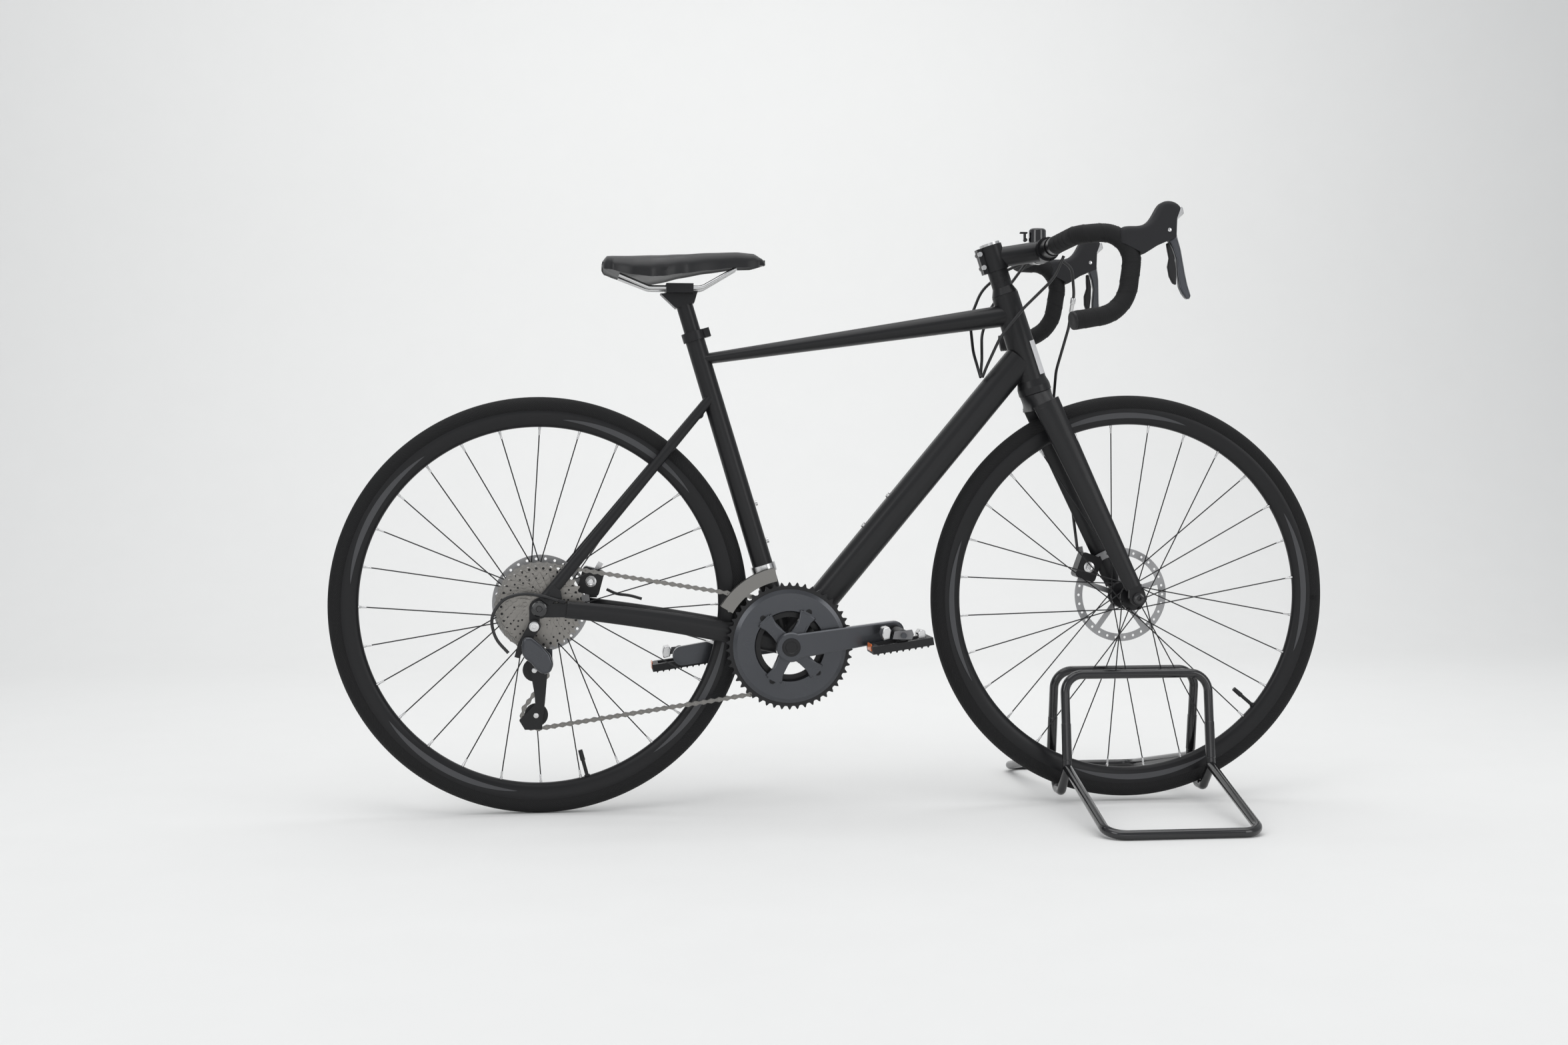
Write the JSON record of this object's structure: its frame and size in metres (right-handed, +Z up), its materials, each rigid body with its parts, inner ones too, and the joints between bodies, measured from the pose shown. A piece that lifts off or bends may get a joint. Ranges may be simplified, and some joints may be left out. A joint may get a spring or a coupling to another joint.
{
  "type": "bicycle on stand",
  "caption": "Drop-bar road bicycle with disc brakes and derailleur gears, its front wheel standing in a bent-tube steel display stand.",
  "frame": {"origin": "on the floor in the middle plane, halfway between the wheel axles", "axes": "+X forward, +Y to the rider left, +Z up"},
  "size_m": [1.6578, 0.661, 0.9751],
  "materials": {
    "frame_paint": "matte black powder coat",
    "bare_black": "black anodised alloy",
    "alloy_grey": "dark polished alloy",
    "steel": "plated steel",
    "rubber": "ribbed rubber tape",
    "hood_rubber": "dark grey moulded rubber",
    "tyre": "fine file tread",
    "plastic": "moulded black plastic",
    "saddle_skin": "smooth synthetic leather",
    "stand_paint": "gloss black enamel",
    "cable_jacket": "black cable housing"
  },
  "bodies": {
    "frame": {"head_tube": "frame_paint", "top_tube": "frame_paint", "down_tube": "frame_paint", "seat_tube": "frame_paint", "chainstays": "frame_paint", "seatstays": "frame_paint", "seat_clamp": "bare_black", "bottom_bracket": "bare_black", "bottle_bolts": "steel", "rear_caliper": "bare_black", "front_derailleur": "alloy_grey", "rear_cables": "cable_jacket", "chain": "steel"},
    "seat": {"seatpost": "bare_black", "saddle_rails": "bare_black", "saddle_shell": "plastic", "saddle_cover": "saddle_skin"},
    "steering": {"fork": "frame_paint", "headset": "bare_black", "stem": "bare_black", "stem_bolts": "steel", "handlebar": "bare_black", "bar_tape": "rubber", "hoods": "hood_rubber", "bell": "bare_black", "front_caliper": "bare_black", "front_brake_cable": "cable_jacket", "bar_cables": "cable_jacket"},
    "front_wheel": {"front_tyre": "tyre", "front_rim": "bare_black", "front_hub": "bare_black", "front_spokes": "steel", "front_rotor": "steel"},
    "rear_wheel": {"rear_tyre": "tyre", "rear_rim": "bare_black", "rear_hub": "bare_black", "rear_spokes": "steel", "rear_rotor": "steel"},
    "cassette": {"cassette": "steel"},
    "crankset": {"crank_right": "alloy_grey", "crank_left": "alloy_grey", "chainrings": "bare_black"},
    "pedal_right": {"pedal_right": "plastic"},
    "pedal_left": {"pedal_left": "plastic"},
    "brake_lever_right": {"brake_lever_right": "alloy_grey"},
    "brake_lever_left": {"brake_lever_left": "alloy_grey"},
    "shift_paddle_right": {"shift_paddle_right": "plastic"},
    "shift_paddle_left": {"shift_paddle_left": "plastic"},
    "bell_lever": {"bell_lever": "bare_black"},
    "rd_bracket": {"rd_bracket": "alloy_grey"},
    "rd_link": {"rd_link": "alloy_grey"},
    "rd_knuckle": {"rd_knuckle": "alloy_grey"},
    "rd_cage": {"rd_cage": "bare_black"},
    "rd_guide_pulley": {"rd_guide_pulley": "plastic"},
    "rd_tension_pulley": {"rd_tension_pulley": "plastic"},
    "fd_cage": {"fd_cage": "alloy_grey"},
    "front_caliper_arm": {"front_caliper_arm": "bare_black"},
    "rear_caliper_arm": {"rear_caliper_arm": "bare_black"},
    "stand": {"stand_hoops": "stand_paint", "stand_base": "stand_paint"}
  },
  "joints": [
    {"name": "steer", "type": "hinge", "parent": "frame", "child": "steering", "pos_m": [0.44527, 0, 0.33047], "axis": [-0.3069, 0, 0.9518], "range_deg": [-45, 45], "deforming": ["bar_cables"]},
    {"name": "front_wheel_spin", "type": "hinge", "parent": "steering", "child": "front_wheel", "pos_m": [0.49095, 0, 0.3452], "axis": [0, 1, 0], "continuous": true},
    {"name": "rear_wheel_spin", "type": "hinge", "parent": "frame", "child": "rear_wheel", "pos_m": [-0.49095, 0, 0.338], "axis": [0, 1, 0], "continuous": true},
    {"name": "crank_spin", "type": "hinge", "parent": "frame", "child": "crankset", "pos_m": [-0.08885, 0, 0.2718], "axis": [0, 1, 0], "continuous": true, "deforming": ["chain"]},
    {"name": "cassette_spin", "type": "hinge", "parent": "frame", "child": "cassette", "pos_m": [-0.49095, 0, 0.338], "axis": [0, 1, 0], "continuous": true},
    {"name": "pedal_right_spin", "type": "hinge", "parent": "crankset", "child": "pedal_right", "pos_m": [0.07928, -0.123, 0.29693], "axis": [0, 1, 0], "continuous": true},
    {"name": "pedal_left_spin", "type": "hinge", "parent": "crankset", "child": "pedal_left", "pos_m": [-0.25698, 0.123, 0.24667], "axis": [0, 1, 0], "continuous": true},
    {"name": "seatpost_height", "type": "slide", "parent": "frame", "child": "seat", "axis": [-0.2887, 0, 0.9574], "range_m": [-0.035, 0.05]},
    {"name": "brake_pull_right", "type": "hinge", "parent": "steering", "child": "brake_lever_right", "pos_m": [0.48437, -0.214, 0.92504], "axis": [0, 1, 0], "range_deg": [0, 10], "stiffness_Nm_per_rad": 1.5, "springref_deg": -8.59},
    {"name": "brake_pull_left", "type": "hinge", "parent": "steering", "child": "brake_lever_left", "pos_m": [0.48437, 0.214, 0.92504], "axis": [0, 1, 0], "range_deg": [0, 10], "stiffness_Nm_per_rad": 1.5, "springref_deg": -8.59},
    {"name": "shift_right", "type": "hinge", "parent": "brake_lever_right", "child": "shift_paddle_right", "pos_m": [0.47787, -0.216, 0.90904], "axis": [1, 0, 0], "range_deg": [0, 12], "stiffness_Nm_per_rad": 0.3, "springref_deg": -11.46},
    {"name": "shift_left", "type": "hinge", "parent": "brake_lever_left", "child": "shift_paddle_left", "pos_m": [0.47787, 0.216, 0.90904], "axis": [-1, 0, 0], "range_deg": [0, 12], "stiffness_Nm_per_rad": 0.3, "springref_deg": -11.46},
    {"name": "bell_ring", "type": "hinge", "parent": "steering", "child": "bell_lever", "pos_m": [0.32237, 0.04, 0.94644], "axis": [0, 1, 0], "range_deg": [0, 14], "stiffness_Nm_per_rad": 0.05, "springref_deg": -17.19},
    {"name": "derailleur_swing", "type": "hinge", "parent": "frame", "child": "rd_bracket", "pos_m": [-0.49865, -0.08, 0.3111], "axis": [0, 1, 0], "range_deg": [0, 20], "stiffness_Nm_per_rad": 2, "springref_deg": -17.19, "deforming": ["rear_cables"]},
    {"name": "derailleur_shift", "type": "hinge", "parent": "rd_bracket", "child": "rd_link", "pos_m": [-0.51495, -0.092, 0.284], "axis": [0, 0, 1], "range_deg": [-38, 0], "stiffness_Nm_per_rad": 0.8, "springref_deg": 17.19},
    {"name": "derailleur_parallel", "type": "hinge", "parent": "rd_link", "child": "rd_knuckle", "pos_m": [-0.48695, -0.064, 0.262], "axis": [0, 0, 1], "range_deg": [0, 38]},
    {"name": "chain_tensioner", "type": "hinge", "parent": "rd_knuckle", "child": "rd_cage", "pos_m": [-0.48495, -0.045, 0.25], "axis": [0, 1, 0], "range_deg": [-25, 12], "stiffness_Nm_per_rad": 0.5},
    {"name": "guide_pulley_spin", "type": "hinge", "parent": "rd_cage", "child": "rd_guide_pulley", "pos_m": [-0.49995, -0.028, 0.236], "axis": [0, 1, 0], "continuous": true},
    {"name": "tension_pulley_spin", "type": "hinge", "parent": "rd_cage", "child": "rd_tension_pulley", "pos_m": [-0.49745, -0.028, 0.1632], "axis": [0, 1, 0], "continuous": true},
    {"name": "front_shift", "type": "slide", "parent": "frame", "child": "fd_cage", "axis": [0, -1, 0], "range_m": [0, 0.006], "stiffness_N_per_m": 400, "springref_m": -0.002},
    {"name": "front_caliper_pull", "type": "hinge", "parent": "steering", "child": "front_caliper_arm", "pos_m": [0.43105, 0.059, 0.393], "axis": [0, 1, 0], "range_deg": [0, 15]},
    {"name": "rear_caliper_pull", "type": "hinge", "parent": "frame", "child": "rear_caliper_arm", "pos_m": [-0.40895, 0.071, 0.374], "axis": [0, 1, 0], "range_deg": [0, 15]},
    {"name": "stand_lift_off", "type": "slide", "parent": "steering", "child": "stand", "axis": [0, 0, -1], "range_m": [0, 0.25]}
  ],
  "couplings": [
    {"joint": "cassette_spin", "follows": "crank_spin", "ratio": 1},
    {"joint": "guide_pulley_spin", "follows": "crank_spin", "ratio": -3.0909},
    {"joint": "tension_pulley_spin", "follows": "crank_spin", "ratio": 3.0909},
    {"joint": "derailleur_parallel", "follows": "derailleur_shift", "ratio": -1},
    {"joint": "front_caliper_pull", "follows": "brake_pull_right", "ratio": 1.5},
    {"joint": "rear_caliper_pull", "follows": "brake_pull_left", "ratio": 1.5}
  ]
}
